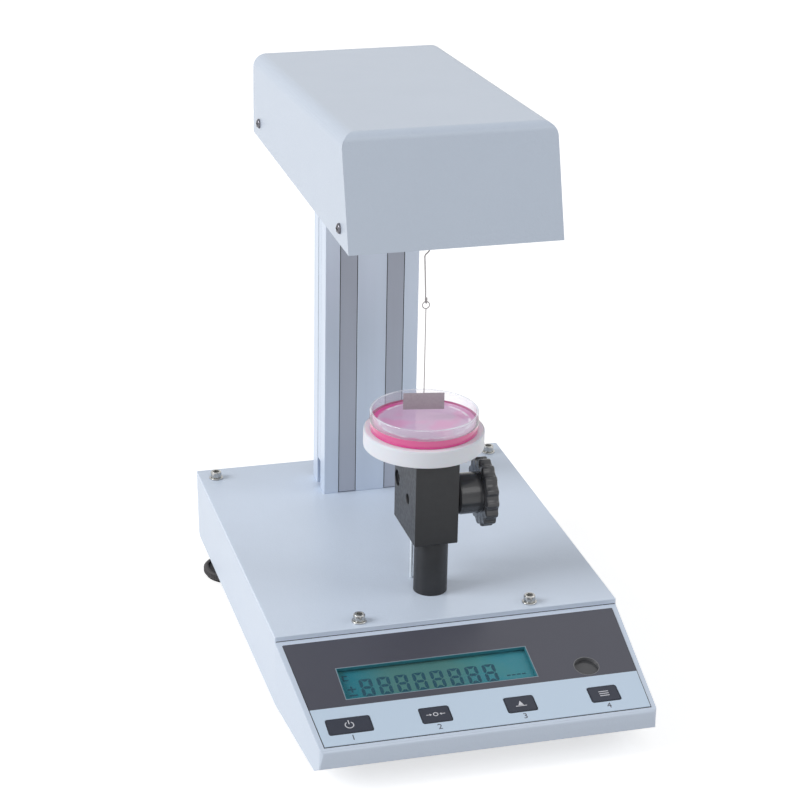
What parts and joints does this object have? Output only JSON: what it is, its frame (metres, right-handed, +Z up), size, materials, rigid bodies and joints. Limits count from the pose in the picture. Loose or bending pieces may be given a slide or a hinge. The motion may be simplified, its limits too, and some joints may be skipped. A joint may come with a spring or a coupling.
{
  "type": "surface tensiometer",
  "caption": "Bench tensiometer: a low keypad base, an upright carrying an overhanging sensor head, and a rack-and-pinion stage that raises a liquid dish to a hanging plate.",
  "frame": {"origin": "middle of the footprint box, on the table under the feet", "axes": "+X to the right of someone facing the keys, +Y from the keys towards the column, +Z up"},
  "size_m": [0.2122, 0.331, 0.3425],
  "materials": {
    "grey_paint": "fine textured powder paint, pale blue grey",
    "extrusion": "satin anodised extrusion",
    "strip_grey": "satin grey slot strip",
    "bright_steel": "bright plated screws",
    "ground_steel": "ground steel",
    "plated_sheet": "zinc plated sheet steel",
    "sensor_alloy": "machined aluminium",
    "black_anodised": "satin black anodised",
    "black_steel": "black oxide",
    "bronze": "turned and oiled",
    "black_plastic": "moulded black plastic",
    "foot_rubber": "matt black rubber",
    "foot_plastic": "knurled black plastic",
    "label_film": "printed polyester film, dark grey over light grey",
    "key_plastic": "dark grey key cap with a pale edge line",
    "window_clear": "clear window",
    "display_teal": "teal liquid crystal display",
    "circuit_green": "circuit board",
    "component_black": "chips, capacitors and connectors",
    "cable_grey": "insulated leads",
    "white_plastic": "turned white plastic",
    "dish_glass": "clear glass",
    "pink_liquid": "pink dyed liquid",
    "plate_platinum": "roughened platinum"
  },
  "bodies": {
    "root": {"base_shell": "grey_paint", "deck_plate": "grey_paint", "deck_screws": "bright_steel", "deck_washers": "bright_steel", "case_nuts": "bright_steel", "bottom_plate": "grey_paint", "bottom_screws": "bright_steel", "front_label": "label_film", "key_switches": "black_plastic", "keypad_board": "circuit_green", "display_window": "window_clear", "display_glass": "display_teal", "display_board": "circuit_green", "board_spacers": "bright_steel", "level_vial": "window_clear", "level_cup": "black_plastic", "main_board": "circuit_green", "board_parts": "component_black", "power_inlet": "black_plastic", "column_foot_plate": "plated_sheet", "frame_bolts": "bright_steel", "column": "extrusion", "slot_covers": "strip_grey", "inner_cables": "cable_grey", "post": "black_anodised", "rack": "ground_steel", "guide_rod": "ground_steel", "head_cover": "grey_paint", "head_plate": "plated_sheet", "head_screws": "bright_steel", "head_board": "circuit_green", "sensor_pedestal": "plated_sheet", "force_sensor": "sensor_alloy", "sensor_arm": "plated_sheet", "hook_wire": "ground_steel"},
    "carriage": {"lift_block": "black_anodised", "clamp_screw": "black_steel", "shaft_bushes": "bronze", "stage_disc": "white_plastic", "stage_screws": "bright_steel", "dish": "dish_glass", "sample_liquid": "pink_liquid"},
    "knob_assembly": {"pinion_shaft": "ground_steel", "pinion_gear": "bronze", "knob": "black_plastic", "knob_grub_screw": "bright_steel"},
    "hanger": {"plate_hanger": "ground_steel", "wetting_plate": "plate_platinum"},
    "power_key": {"key_power": "key_plastic"},
    "tare_key": {"key_tare": "key_plastic"},
    "cal_key": {"key_cal": "key_plastic"},
    "mode_key": {"key_mode": "key_plastic"},
    "pad_rear_left": {"foot_pad_rear_left": "foot_rubber"},
    "screw_rear_left": {"foot_screw_rear_left": "foot_plastic"},
    "pad_rear_right": {"foot_pad_rear_right": "foot_rubber"},
    "screw_rear_right": {"foot_screw_rear_right": "foot_plastic"},
    "pad_front_left": {"foot_pad_front_left": "foot_rubber"},
    "screw_front_left": {"foot_screw_front_left": "foot_plastic"},
    "pad_front_right": {"foot_pad_front_right": "foot_rubber"},
    "screw_front_right": {"foot_screw_front_right": "foot_plastic"}
  },
  "joints": [
    {"name": "stage_lift", "type": "slide", "parent": "root", "child": "carriage", "axis": [0, 0, 1], "range_m": [-0.024, 0.006]},
    {"name": "knob_turn", "type": "hinge", "parent": "carriage", "child": "knob_assembly", "pos_m": [-0.0004, -0.0341, 0.113], "axis": [1, 0, 0], "range_deg": [-287, 72]},
    {"name": "plate_swing", "type": "hinge", "parent": "root", "child": "hanger", "pos_m": [-0.001, -0.0209, 0.22888], "axis": [0, 1, 0], "range_deg": [-10, 10]},
    {"name": "power_press", "type": "slide", "parent": "root", "child": "power_key", "axis": [0, -0.2453, 0.9694], "range_m": [-0.0005, 0], "stiffness_N_per_m": 400},
    {"name": "tare_press", "type": "slide", "parent": "root", "child": "tare_key", "axis": [0, -0.2453, 0.9694], "range_m": [-0.0005, 0], "stiffness_N_per_m": 400},
    {"name": "cal_press", "type": "slide", "parent": "root", "child": "cal_key", "axis": [0, -0.2453, 0.9694], "range_m": [-0.0005, 0], "stiffness_N_per_m": 400},
    {"name": "mode_press", "type": "slide", "parent": "root", "child": "mode_key", "axis": [0, -0.2453, 0.9694], "range_m": [-0.0005, 0], "stiffness_N_per_m": 400},
    {"name": "foot_height_rear_left", "type": "slide", "parent": "root", "child": "pad_rear_left", "axis": [0, 0, 1], "range_m": [-0.00305, 0.00305]},
    {"name": "foot_turn_rear_left", "type": "hinge", "parent": "pad_rear_left", "child": "screw_rear_left", "pos_m": [-0.0898, 0.115, 0.0064], "axis": [0, 0, 1], "range_deg": [-1080, 1080]},
    {"name": "foot_height_rear_right", "type": "slide", "parent": "root", "child": "pad_rear_right", "axis": [0, 0, 1], "range_m": [-0.00305, 0.00305]},
    {"name": "foot_turn_rear_right", "type": "hinge", "parent": "pad_rear_right", "child": "screw_rear_right", "pos_m": [0.0898, 0.115, 0.0064], "axis": [0, 0, 1], "range_deg": [-1080, 1080]},
    {"name": "foot_height_front_left", "type": "slide", "parent": "root", "child": "pad_front_left", "axis": [0, 0, 1], "range_m": [-0.00305, 0.00305]},
    {"name": "foot_turn_front_left", "type": "hinge", "parent": "pad_front_left", "child": "screw_front_left", "pos_m": [-0.0759, -0.1137, 0.0064], "axis": [0, 0, 1], "range_deg": [-1080, 1080]},
    {"name": "foot_height_front_right", "type": "slide", "parent": "root", "child": "pad_front_right", "axis": [0, 0, 1], "range_m": [-0.00305, 0.00305]},
    {"name": "foot_turn_front_right", "type": "hinge", "parent": "pad_front_right", "child": "screw_front_right", "pos_m": [0.0759, -0.1137, 0.0064], "axis": [0, 0, 1], "range_deg": [-1080, 1080]}
  ],
  "couplings": [
    {"joint": "knob_turn", "follows": "stage_lift", "rad_per_m": 208.33},
    {"joint": "foot_height_rear_left", "follows": "foot_turn_rear_left", "m_per_rad": 0.00015915},
    {"joint": "foot_height_rear_right", "follows": "foot_turn_rear_right", "m_per_rad": 0.00015915},
    {"joint": "foot_height_front_left", "follows": "foot_turn_front_left", "m_per_rad": 0.00015915},
    {"joint": "foot_height_front_right", "follows": "foot_turn_front_right", "m_per_rad": 0.00015915}
  ]
}
